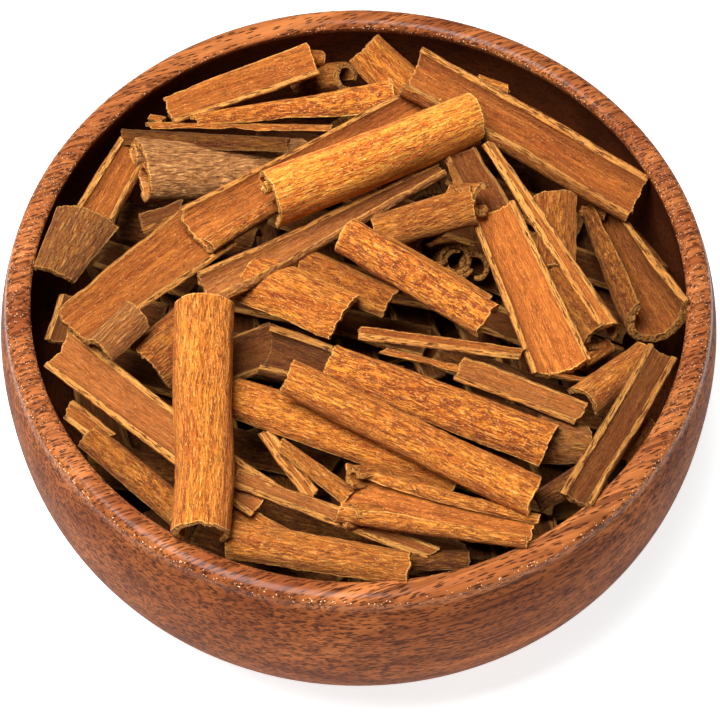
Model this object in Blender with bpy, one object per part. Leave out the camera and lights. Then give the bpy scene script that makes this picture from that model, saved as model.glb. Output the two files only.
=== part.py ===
"""A wooden bowl filled with cut cassia cinnamon bark.

Two pieces: the turned bowl, and the loose heap of bark sticks in it as one solid, whose top
follows the uneven outline of the sticks that lie on it.

Metres, +Z up. The origin is the middle of the bowl's foot, on the table.
"""

import math

import bmesh
import bpy
import numpy as np

MM = 0.001

# The bowl. Depths are measured down from the rim's crest.
BOWL_HEIGHT = 0.076
OUTER_WIDEST_RADIUS = 0.0923
INNER_WIDEST_RADIUS = 0.0855
WIDEST_DEPTH = 0.0258
OUTER_REACH = 0.0575  # from the widest level to where the outer curve would close, up and down
INNER_REACH_UP = 0.0612
INNER_REACH_DOWN = 0.0415  # the inner floor lies this far below the widest level
OUTER_SQUARENESS = 2.676  # 2 is an ellipse, higher is squarer
INNER_SQUARENESS = 2.6
CREST_DEPTH = 0.0020  # the rounding between the outer wall and the inner wall
FOOT_ROUNDING = 0.0030

# How finely both pieces are cut. They share the same segments, so that the gap stays even.
SEGMENTS = 72
OUTER_STEPS = 11
HEAP_GAP = 0.0004  # between the heap and the bowl's inner wall
HEAP_RINGS = 26
FLOOR_RINGS = 9
WALL_RINGS = 4  # between the bowl's widest level and the heap's edge

# The heap between the sticks: how far below the crest the loose bark fills the bowl.
FILL_DEPTH = 0.018
FILL_CROWN = 0.005
GRID_STEP = 0.0022  # between the places where the heap's top is measured
SMOOTHING = 3  # passes that round the heap's top between neighbouring places

# Bark dries into a shape: how thick the strip is, in millimetres, and the degrees that each of
# its equal parts bends through, from its right edge to its left, with more than 0 for a back
# that faces up.
SHAPES = {
    "quill": (1.6, (70, 60, 60, 60, 70)),
    "hook": (1.4, (15, 25, 35, 40, 50, 60, 125, 135)),
    "open": (1.6, (50, 58, 58, 58, 50)),
    "hood": (1.6, (38, 48, 48, 48, 38)),
    "shell": (1.5, (25, 38, 38, 38, 25)),
    "low": (1.5, (18, 22, 24, 20, 14)),
    "flat": (1.5, (6, 10, 6)),
    "dish": (1.8, (-30, -22, -12, -20, -28)),
    "trough": (2.0, (-55, -30, -8, -28, -50)),
    "channel": (2.0, (-85, -38, -6, -34, -75)),
    "lipped": (1.6, (-130, -75, -25, -12, -20, -30, -35)),
    "ledge": (1.8, (-75, -14, -6, -8, -14)),
    "round": (2.1, (-52, -42, -32, -42, -52)),
    "cup": (2.3, (-72, -62, -58, -50, -34)),
    "scroll": (1.3, (74, 74, 74, 66, 46, 24, 20, 96, 112, 104)),
    "nested": (1.3, (60, 62, 66, 70, 76, 84, 94, 108)),
    "rolled": (1.4, (-85, -80, -35, -10, -4, -8, -35, -115, -125)),
}

# The sticks on the heap, from the lowest to the highest, in millimetres. Each has its two ends,
# as x, y and its underside's height over the rim's edge, its width at each end, its shape, and
# its roll about its own length in degrees, where more than 0 lifts its left side.
RIM_EDGE = 0.075
STICKS = (
    ("wall_strip", (-76, -11, -12), (-74, 2, -11), 7.5, 6.5, "trough", 0),
    ("back_ring", (-13, 79, -24), (-1, 71, -12), 9, 8.5, "quill", 0),
    ("back_bits", (33, 72, -9), (41, 69, -10), 3, 3, "scroll", 0),
    ("wall_piece_right", (74, 32, -25), (79, 16, -22), 4, 6.5, "shell", 0),
    ("low_right_grey", (44, -42, -8), (56, -41, -10), 13.5, 10, "shell", 0),
    ("low_right_dark", (42, -59, -7), (55, -51, -8), 5.5, 6.5, "shell", 0),
    ("low_front_dark", (11, -75, -7), (26, -74, -8), 5.5, 5.5, "shell", 0),
    ("gap_ring_a", (15, 22, -29), (21, 11, -11), 10.5, 10.5, "open", 70),
    ("gap_ring_b", (23, 22, -33), (27, 11, -15), 10, 10, "nested", -40),
    ("gap_ring_c", (30, 22, -36), (30, 11, -17), 8, 8, "quill", -30),
    ("folded_end", (27, 22, -2), (34, 19, 3), 8.5, 8.5, "open", 60),
    ("front_end_near", (3, -64, -6), (-4, -67, -1), 5.5, 5.5, "open", 90),
    ("front_end_far", (4, -54, -5), (-3, -57, 0), 5.5, 5.5, "open", 90),
    ("gap_bits_left", (-56, 18, -2), (-46, 24, -3), 7, 6, "dish", 0),
    ("curl_right", (56, -18, -11), (63, -13, -12), 4.5, 4, "quill", 0),
    ("rough_dark", (47, 16, -12), (61, -15, -8), 10.5, 10.5, "quill", 12),
    ("dark_mid", (-34, -21, -9), (-20, -15, -8), 13.5, 13.5, "dish", 0),
    ("dark_shell_mid", (-14, 6, -2), (9, -6, -1), 9.5, 9.5, "shell", 0),
    ("wall_bit_right", (65, -47, -8), (72, -36, -8), 3.5, 3.5, "shell", 0),
    ("small_trough_left", (-72, -33, -9), (-62, -41, -9), 6, 6, "trough", 0),
    ("shell_left_low", (-66, -40, -8), (-43, -61, -9), 7.5, 8, "shell", 0),
    ("shell_front_left", (-31, -62, -7), (-17, -68, -7), 7, 4, "low", 0),
    ("trough_left", (-75, -19, -4), (-23, -60, -6), 12.5, 10.5, "trough", 6),
    ("twin_a", (-23, -42, -4), (-11, -59, -6), 3.5, 5, "channel", 0),
    ("trough_front", (-30, -55, -3), (18, -73, -6), 7, 4.5, "dish", 0),
    ("twin_b", (-19, -46, -1), (-3, -60, -3), 3.5, 5.5, "shell", 0),
    ("shell_front", (-31, -70, -6), (12, -79, -1), 10, 9, "shell", 0),
    ("ridged_left", (-52, -21, -8), (-39, -9, -5), 15.5, 15.5, "shell", 0),
    ("trough_corner_left", (-68, 24, -9), (-59, 48, -10), 11.5, 10, "channel", 0),
    ("back_sliver_dark", (-63, 50, -7), (-18, 43, -1), 6.5, 5.5, "low", 0),
    ("chip_back", (-56, 57, -7), (-52, 56, -7), 4, 4, "flat", 0),
    ("back_quill", (1, 79, -5), (13, 69, -13), 12.5, 13.5, "shell", 0),
    ("curl_back", (-17, 76, -6), (-11, 79, -10), 4.5, 4.5, "hood", 0),
    ("light_trough_back", (-51, 58, -6), (-12, 73, -4), 10, 13.5, "ledge", 0),
    ("flat_back", (-44, 54, -3), (9, 62, -7), 2.5, 10.5, "shell", 0),
    ("edge_back", (-56, 53, -5), (-7, 48, -1), 2.5, 3.5, "low", 0),
    ("grey_scroll", (-58, 35, -8), (-15, 48, -21), 19.5, 17, "scroll", 0),
    ("broad_left", (-72, -15, 0), (-38, 17, -4), 14.5, 20.5, "dish", -4),
    ("chip_left", (-71, 22, -4), (-76, 3, -4), 17.5, 12, "low", -8),
    ("grey_left", (-64, -22, 3), (-55, -12, 3), 9, 9.5, "shell", 0),
    ("short_shell", (-28, 1, -1), (-3, -12, 1), 16, 15, "low", 4),
    ("jagged_mid", (-23, -21, -5), (-8, -25, -5), 13.5, 11, "round", 0),
    ("trough_long_left", (-41, 12, 1), (19, 61, -6), 15, 9.5, "lipped", 0),
    ("narrow_long", (-37, -8, 5), (21, 36, -3), 11, 4, "lipped", 0),
    ("big_trough_back", (14, 65, -2), (72, 29, -11), 14.5, 14, "round", 0),
    ("dark_shell_right", (27, 40, -1), (39, 13, -4), 10, 11.5, "dish", 0),
    ("tapered_quill", (50, 27, -2), (51, 5, -3), 13, 10, "low", 0),
    ("curl_under_big", (59, 30, -13), (65, 29, -13), 4, 3.5, "scroll", 0),
    ("deep_trough", (65, 28, -20), (74, -11, -8), 8.5, 16.5, "cup", 0),
    ("long_edge", (34, 42, 0), (61, -14, 1), 3, 6.5, "trough", 0),
    ("smooth_trough", (35, 21, -1), (49, -25, -4), 12.5, 16, "trough", 0),
    ("folded_shell", (6, 15, -4), (31, 18, 3), 9, 10, "quill", 0),
    ("thin_strip", (4, 12, 4), (33, -6, 0), 3, 3, "flat", 0),
    ("shell_mid", (-4, 9, 5), (32, -13, 0), 9.5, 9.5, "hood", 0),
    ("under_smooth", (46, -26, -3), (57, -25, -7), 3.5, 3, "flat", 0),
    ("thin_mid", (6, -22, 2), (26, -27, 1), 3, 3.5, "flat", 0),
    ("edge_mid", (0, -18, 4), (40, -22, 1), 5, 5, "dish", -6),
    ("shell_right_lower", (55, -33, -5), (71, -17, -6), 10.5, 7.5, "shell", 0),
    ("trough_right", (52, -62, -2), (75, -21, -2), 8.5, 8.5, "channel", -6),
    ("shell_c", (-7, -25, 3), (46, -46, -3), 10.5, 12.5, "shell", 0),
    ("grey_strip", (24, -28, 2), (54, -37, -3), 8.5, 8, "dish", 0),
    ("shell_e", (-31, -32, -3), (24, -52, -5), 10.5, 13, "shell", 0),
    ("front_curled", (-4, -61, -2), (41, -69, -2), 16, 9, "rolled", 0),
    ("shell_d", (-17, -32, 5), (41, -62, 0), 9, 11, "hood", 0),
    ("upright_quill", (-37, -13, 4), (-37, -72, -1), 14, 13.5, "open", 0),
    ("top_quill", (-23, 17, 5), (30, 48, -1), 12.5, 11, "hook", 0),
    ("pale_sliver", (24, 34, 2), (25, 20, 10), 3, 4, "flat", 0),
)

BOWL_WOOD = (0.30, 0.105, 0.045)
BARK = (0.46, 0.20, 0.075)


def clear_scene():
    for obj in list(bpy.data.objects):
        bpy.data.objects.remove(obj)


def material(name, colour, roughness):
    made = bpy.data.materials.new(name)
    made.use_nodes = True
    shader = made.node_tree.nodes["Principled BSDF"]
    shader.inputs["Base Color"].default_value = (*colour, 1)
    shader.inputs["Roughness"].default_value = roughness
    shader.inputs["Metallic"].default_value = 0
    return made


def wall_radius(depth, widest, reach_up, reach_down, squareness):
    """The radius of a bowl wall at a depth below the crest."""
    away = depth - WIDEST_DEPTH
    share = abs(away) / (reach_down if away > 0 else reach_up)
    return widest * max(0.0, 1 - share**squareness) ** (1 / squareness)


def outer_radius(depth):
    return wall_radius(depth, OUTER_WIDEST_RADIUS, OUTER_REACH, OUTER_REACH, OUTER_SQUARENESS)


def inner_radius(depth):
    return wall_radius(
        depth, INNER_WIDEST_RADIUS, INNER_REACH_UP, INNER_REACH_DOWN, INNER_SQUARENESS
    )


def inner_depth(radius):
    """The depth of the bowl's inside at a radius, on the wall below its widest level."""
    share = min(1.0, radius / INNER_WIDEST_RADIUS)
    return WIDEST_DEPTH + INNER_REACH_DOWN * (1 - share**INNER_SQUARENESS) ** (1 / INNER_SQUARENESS)


def ring_mesh(name, rings, bottom, top, finish):
    """A closed body from rings of points: rings go from the bottom centre outwards to the top centre."""
    mesh = bmesh.new()
    low = mesh.verts.new(bottom)
    high = mesh.verts.new(top)
    loops = [[mesh.verts.new(point) for point in ring] for ring in rings]
    count = len(loops[0])
    for at in range(count):
        after = (at + 1) % count
        mesh.faces.new((low, loops[0][after], loops[0][at]))
        mesh.faces.new((high, loops[-1][at], loops[-1][after]))
        for first, second in zip(loops[:-1], loops[1:]):
            mesh.faces.new((first[at], first[after], second[after], second[at]))
    bmesh.ops.recalc_face_normals(mesh, faces=mesh.faces)
    data = bpy.data.meshes.new(name)
    mesh.to_mesh(data)
    mesh.free()
    data.shade_smooth()
    data.set_sharp_from_angle(angle=math.radians(40))
    data.materials.append(finish)
    obj = bpy.data.objects.new(name, data)
    bpy.context.scene.collection.objects.link(obj)
    return obj


def circle(radius, height):
    turns = [math.tau * n / SEGMENTS for n in range(SEGMENTS)]
    return [(radius * math.cos(turn), radius * math.sin(turn), height) for turn in turns]


def bowl_profile():
    """Radius and height from the foot's edge, up the outside, over the crest and down the inside."""
    foot_radius = outer_radius(BOWL_HEIGHT - FOOT_ROUNDING) - FOOT_ROUNDING
    profile = [(foot_radius, 0.0)]
    for step in range(OUTER_STEPS + 1):
        share = step / OUTER_STEPS
        depth = (BOWL_HEIGHT - FOOT_ROUNDING) * (1 - share) + CREST_DEPTH * share
        profile.append((outer_radius(depth), BOWL_HEIGHT - depth))
    outside = outer_radius(CREST_DEPTH)
    inside = inner_radius(CREST_DEPTH)
    middle = (outside + inside) / 2
    for step in range(1, 6):
        turn = math.pi * step / 6
        radius = middle + (outside - inside) / 2 * math.cos(turn)
        profile.append((radius, BOWL_HEIGHT - CREST_DEPTH * (1 - math.sin(turn))))
    for depth in (CREST_DEPTH, 0.008, 0.016, WIDEST_DEPTH):
        profile.append((inner_radius(depth), BOWL_HEIGHT - depth))
    for radius in inner_rings()[::-1][1:]:
        profile.append((radius, BOWL_HEIGHT - inner_depth(radius)))
    return profile


def inner_rings():
    """Radii from near the middle of the floor to the widest level, closer together near the wall."""
    return [
        INNER_WIDEST_RADIUS * math.sin(math.pi / 2 * step / FLOOR_RINGS)
        for step in range(1, FLOOR_RINGS + 1)
    ]


def make_bowl():
    rings = [circle(radius, height) for radius, height in bowl_profile()]
    floor = BOWL_HEIGHT - inner_depth(0.0)
    return ring_mesh(
        "bowl", rings, (0, 0, 0), (0, 0, floor), material("bowl_wood", BOWL_WOOD, 0.35)
    )


def bark_section(width, shape, roll):
    """The outline of a bent strip across its length: sideways offset and height over its underside."""
    thickness, turns = SHAPES[shape]
    thickness = thickness * MM
    steps = 60
    along = np.linspace(0, 1, steps + 1)
    centres = (np.arange(len(turns)) + 0.5) / len(turns)
    bending = np.interp(along, centres, turns) * len(turns)

    def summed(rate):
        return np.concatenate([[0], np.cumsum((rate[1:] + rate[:-1]) / 2 / steps)])

    slope = summed(bending)
    slope = np.radians(slope - slope[steps // 2])
    side = summed(np.cos(slope))
    rise = -summed(np.sin(slope))
    scale = (width - 0.8 * thickness) / (side.max() - side.min())
    side = side * scale
    rise = rise * scale
    half = thickness / 2
    sides = np.concatenate([side + np.sin(slope) * half, side - np.sin(slope) * half])
    rises = np.concatenate([rise + np.cos(slope) * half, rise - np.cos(slope) * half])
    turn = math.radians(roll)
    across = sides * math.cos(turn) - rises * math.sin(turn)
    upward = sides * math.sin(turn) + rises * math.cos(turn)
    return across - (across.max() + across.min()) / 2, upward - upward.min()


def top_of_section(across, upward, step):
    """The highest point of the section in each sideways step."""
    count = max(3, round((across.max() - across.min()) / step) + 1)
    places = np.linspace(across.min(), across.max(), count)
    tops = [upward[np.abs(across - place) <= 0.6 * step].max(initial=0.0) for place in places]
    return places, np.array(tops)


def heap_ground(x, y):
    """The height of the loose bark that fills the bowl under the sticks."""
    crown = math.cos(min(1.0, math.hypot(x, y) / INNER_WIDEST_RADIUS) * math.pi / 2)
    return BOWL_HEIGHT - FILL_DEPTH + FILL_CROWN * crown


def stick_tops():
    """Points on the upper side of every stick, a millimetre apart."""
    points = []
    for _, start, end, width, end_width, shape, roll in STICKS:
        start = np.array(start) * MM + np.array((0, 0, RIM_EDGE))
        end = np.array(end) * MM + np.array((0, 0, RIM_EDGE))
        middle_width = (width + end_width) / 2 * MM
        across, upward = bark_section(middle_width, shape, roll)
        places, tops = top_of_section(across, upward, MM)
        run = math.hypot(*(end - start)[:2])
        left = np.array((start[1] - end[1], end[0] - start[0])) / run
        for share in np.linspace(0, 1, max(4, round(run / MM))):
            centre = start + (end - start) * share
            size = (width + (end_width - width) * share) * MM / middle_width
            for place, top in zip(places, tops):
                x, y = centre[:2] + left * place * size
                points.append((x, y, centre[2] + top * size))
    return np.array(points)


def heap_grid():
    """Places along X and Y, and the height over each pair: the tallest stick there, or the loose
    bark, with the steps between neighbours rounded."""
    count = round(2 * INNER_WIDEST_RADIUS / GRID_STEP) + 1
    places = np.linspace(-INNER_WIDEST_RADIUS, INNER_WIDEST_RADIUS, count)
    heights = np.array([[heap_ground(x, y) for y in places] for x in places])
    points = stick_tops()
    shares = (points[:, :2] + INNER_WIDEST_RADIUS) / (2 * INNER_WIDEST_RADIUS)
    column = np.clip(np.round(shares * (count - 1)).astype(int), 0, count - 1)
    np.maximum.at(heights, (column[:, 0], column[:, 1]), points[:, 2])
    for _ in range(SMOOTHING):
        wide = np.pad(heights, 1, mode="edge")
        beside = wide[:-2, 1:-1] + wide[2:, 1:-1] + wide[1:-1, :-2] + wide[1:-1, 2:]
        heights = (4 * heights + beside) / 8
    return places, heights


def heap_tops(angles, radii):
    """The heap's height at each angle and radius."""
    places, heights = heap_grid()
    tops = []
    for radius in radii:
        ring = []
        for angle in angles:
            x, y = radius * math.cos(angle), radius * math.sin(angle)
            across = [np.interp(y, places, row) for row in heights]
            ring.append(np.interp(x, places, across))
        tops.append(ring)
    return np.array(tops)


def make_heap():
    angles = [math.tau * n / SEGMENTS for n in range(SEGMENTS)]
    reach = inner_radius(CREST_DEPTH) - HEAP_GAP
    radii = [reach * n / HEAP_RINGS for n in range(1, HEAP_RINGS + 1)]
    tops = heap_tops(angles, radii)
    rings = []
    for radius in inner_rings():
        height = BOWL_HEIGHT - inner_depth(radius)
        rings.append(circle(radius - HEAP_GAP, height + HEAP_GAP))
    for step in range(1, WALL_RINGS + 1):
        ring = []
        for angle, top in zip(angles, tops[-1]):
            low = BOWL_HEIGHT - WIDEST_DEPTH + HEAP_GAP
            high = min(top, BOWL_HEIGHT - CREST_DEPTH) - MM
            height = low + (high - low) * step / WALL_RINGS
            radius = inner_radius(BOWL_HEIGHT - height) - HEAP_GAP if step < WALL_RINGS else reach
            ring.append((radius * math.cos(angle), radius * math.sin(angle), height))
        rings.append(ring)
    for radius, heights in zip(radii[::-1], tops[::-1]):
        rings.append(
            [
                (radius * math.cos(angle), radius * math.sin(angle), height)
                for angle, height in zip(angles, heights)
            ]
        )
    floor = BOWL_HEIGHT - inner_depth(0.0) + HEAP_GAP
    centre = tops[0].mean()
    return ring_mesh(
        "cinnamon_heap", rings, (0, 0, floor), (0, 0, centre), material("cinnamon_bark", BARK, 0.8)
    )


def main():
    clear_scene()
    bpy.context.scene.unit_settings.scale_length = 1
    make_bowl()
    make_heap()


main()
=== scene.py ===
"""A wooden bowl filled with cut cassia cinnamon bark: the looks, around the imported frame.

Lengths are in millimetres while shapes are worked out, and become metres as each mesh is made.
The bark lies in the bowl as a table of sticks, from the lowest to the highest.
"""

import math

import bpy
import numpy as np
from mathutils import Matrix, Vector


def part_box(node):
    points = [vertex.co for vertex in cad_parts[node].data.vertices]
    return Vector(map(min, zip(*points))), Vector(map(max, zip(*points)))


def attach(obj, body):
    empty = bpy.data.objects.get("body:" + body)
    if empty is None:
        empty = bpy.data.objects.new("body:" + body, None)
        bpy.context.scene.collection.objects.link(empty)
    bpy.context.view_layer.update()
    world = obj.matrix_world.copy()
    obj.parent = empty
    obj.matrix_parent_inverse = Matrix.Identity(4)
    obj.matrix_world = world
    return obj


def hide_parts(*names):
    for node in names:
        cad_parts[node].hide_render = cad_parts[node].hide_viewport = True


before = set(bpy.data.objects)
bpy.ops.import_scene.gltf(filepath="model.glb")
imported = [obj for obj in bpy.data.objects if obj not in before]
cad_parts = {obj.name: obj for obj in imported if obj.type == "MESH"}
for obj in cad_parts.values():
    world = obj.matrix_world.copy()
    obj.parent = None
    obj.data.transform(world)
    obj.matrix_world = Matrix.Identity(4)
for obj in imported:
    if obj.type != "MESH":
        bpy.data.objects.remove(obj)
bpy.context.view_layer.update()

MM = 0.001

# The bowl. Its height comes from the frame, and depths are measured down from the rim's crest.
BOWL_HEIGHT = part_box("bowl")[1][2] / MM
OUTER_WIDEST_RADIUS = 92.3
INNER_WIDEST_RADIUS = 85.5
WIDEST_DEPTH = 25.8
OUTER_REACH = 57.5  # up or down from the widest level, to where the curve would close
INNER_REACH_UP = 61.2
INNER_REACH_DOWN = 41.5  # from the widest level to the inner floor
OUTER_SQUARENESS = 2.676  # 2 is an ellipse, higher is squarer
INNER_SQUARENESS = 2.6
CREST_DEPTH = 2.0  # the rounding from wall to wall
FOOT_ROUNDING = 3.0
FLAT_FOOT_MARGIN = 6.0
BOWL_SEGMENTS = 192
BOWL_STEPS = 40  # from the foot to the rim, outside and inside
ROUNDING_STEPS = 6
CREST_STEPS = 14
UPPER_WALL_STEPS = 11
RIM_EDGE = BOWL_HEIGHT - 1.0  # the level that the sticks' heights are measured from
RIM_INNER_LINE = 82.6  # the radii of the dotted lines along the rim
RIM_OUTER_LINE = 88.4
WALL_LOOK_DEPTH = 4.0  # the wall's look fades into the rim's between these two
RIM_LOOK_DEPTH = 2.4
WOOD_GRAIN_HEADING = 22  # degrees from X toward Y

# Bark dries into a shape: how thick the strip is, and the degrees that each of its equal parts
# bends through, from its right edge to its left, with more than 0 for a back that faces up.
SHAPES = {
    "quill": (1.6, (70, 60, 60, 60, 70)),
    "hook": (1.4, (15, 25, 35, 40, 50, 60, 125, 135)),
    "open": (1.6, (50, 58, 58, 58, 50)),
    "hood": (1.6, (38, 48, 48, 48, 38)),
    "shell": (1.5, (25, 38, 38, 38, 25)),
    "low": (1.5, (18, 22, 24, 20, 14)),
    "flat": (1.5, (6, 10, 6)),
    "dish": (1.8, (-30, -22, -12, -20, -28)),
    "trough": (2.0, (-55, -30, -8, -28, -50)),
    "channel": (2.0, (-85, -38, -6, -34, -75)),
    "lipped": (1.6, (-130, -75, -25, -12, -20, -30, -35)),
    "ledge": (1.8, (-75, -14, -6, -8, -14)),
    "round": (2.1, (-52, -42, -32, -42, -52)),
    "cup": (2.3, (-72, -62, -58, -50, -34)),
    "scroll": (1.3, (74, 74, 74, 66, 46, 24, 20, 96, 112, 104)),
    "nested": (1.3, (60, 62, 66, 70, 76, 84, 94, 108)),
    "rolled": (1.4, (-85, -80, -35, -10, -4, -8, -35, -115, -125)),
}

# The pieces that the sticks on the heap are joined into, each with its shapes.
PIECES = {
    "rolled_quills": ("quill", "hook", "open", "scroll", "rolled", "nested"),
    "arched_bark": ("hood", "shell"),
    "flat_bark": ("low", "flat"),
    "open_troughs": ("dish", "trough", "channel", "lipped", "ledge", "round", "cup"),
}

# How a stick's skin looks: its brightness, greyness, dark patches and ridges.
LOOKS = {
    "plain": (0.95, 0.10, 0.40, 0.9),
    # Lighter than the rest: painted light on the top quill.
    "bright": (1.58, 0.0, 0.10, 0.9),
    "golden": (1.02, 0.0, 0.10, 0.9),
    "streaky": (1.12, 0.0, 0.45, 0.8),
    "spotted": (1.20, 0.0, 0.90, 1.0),
    "dark": (0.72, 0.0, 0.6, 1.1),
    # Darkened: painted shade on sticks that lie in the gaps or in others' shadow.
    "deep": (0.52, 0.0, 0.4, 0.8),
    # Darker still: painted shade as well.
    "dim": (0.30, 0.0, 0.3, 0.8),
    "patchy": (1.30, 0.0, 0.8, 1.0),
    "grey": (1.22, 0.85, 0.4, 1.2),
    "dusty": (0.94, 0.35, 0.3, 0.8),
    "dull": (0.82, 0.40, 0.6, 1.0),
    "stained": (0.68, 0.30, 1.0, 0.8),
    "smooth": (0.80, 0.0, 0.15, 0.4),
    "honey": (1.10, 0.0, 0.15, 0.4),
    # Darkened: painted shade on sticks seen only deep in the gaps or in shadow.
    "buried": (0.36, 0.10, 0.6, 1.0),
}
BRIGHT_SPREAD = 0.06  # how much these differ from stick to stick
GREY_SPREAD = 0.06
PATCH_SPREAD = 0.15

# Which sticks have which look. The others are plain.
STICKS_BY_LOOK = {
    # The top quill is lightened as painted light.
    "bright": ("top_quill",),
    "golden": ("upright_quill", "back_quill", "light_trough_back", "shell_e"),
    "streaky": ("shell_d",),
    "spotted": ("shell_mid",),
    "dark": (
        "tapered_quill", "dark_shell_mid", "ridged_left", "shell_left_low", "trough_corner_left",
        "small_trough_left", "back_ring",
    ),
    # The deep and dim sticks are darkened as painted shade, for the shade they lie in.
    "deep": (
        "rough_dark", "deep_trough", "dark_shell_right", "gap_ring_a", "gap_ring_b", "gap_ring_c",
    ),
    "dim": ("trough_right", "jagged_mid", "back_sliver_dark", "gap_bits_left"),
    "patchy": ("shell_c", "short_shell", "flat_back"),
    "grey": ("grey_scroll",),
    "dusty": ("grey_strip", "trough_left"),
    "dull": ("grey_left", "low_right_grey", "narrow_long", "trough_front"),
    "stained": ("chip_left",),
    "smooth": ("broad_left", "big_trough_back"),
    "honey": ("smooth_trough",),
    # The buried look darkens these as painted shade.
    "buried": ("dark_mid", "wall_strip", "low_right_dark", "low_front_dark", "wall_piece_right"),
}

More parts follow.
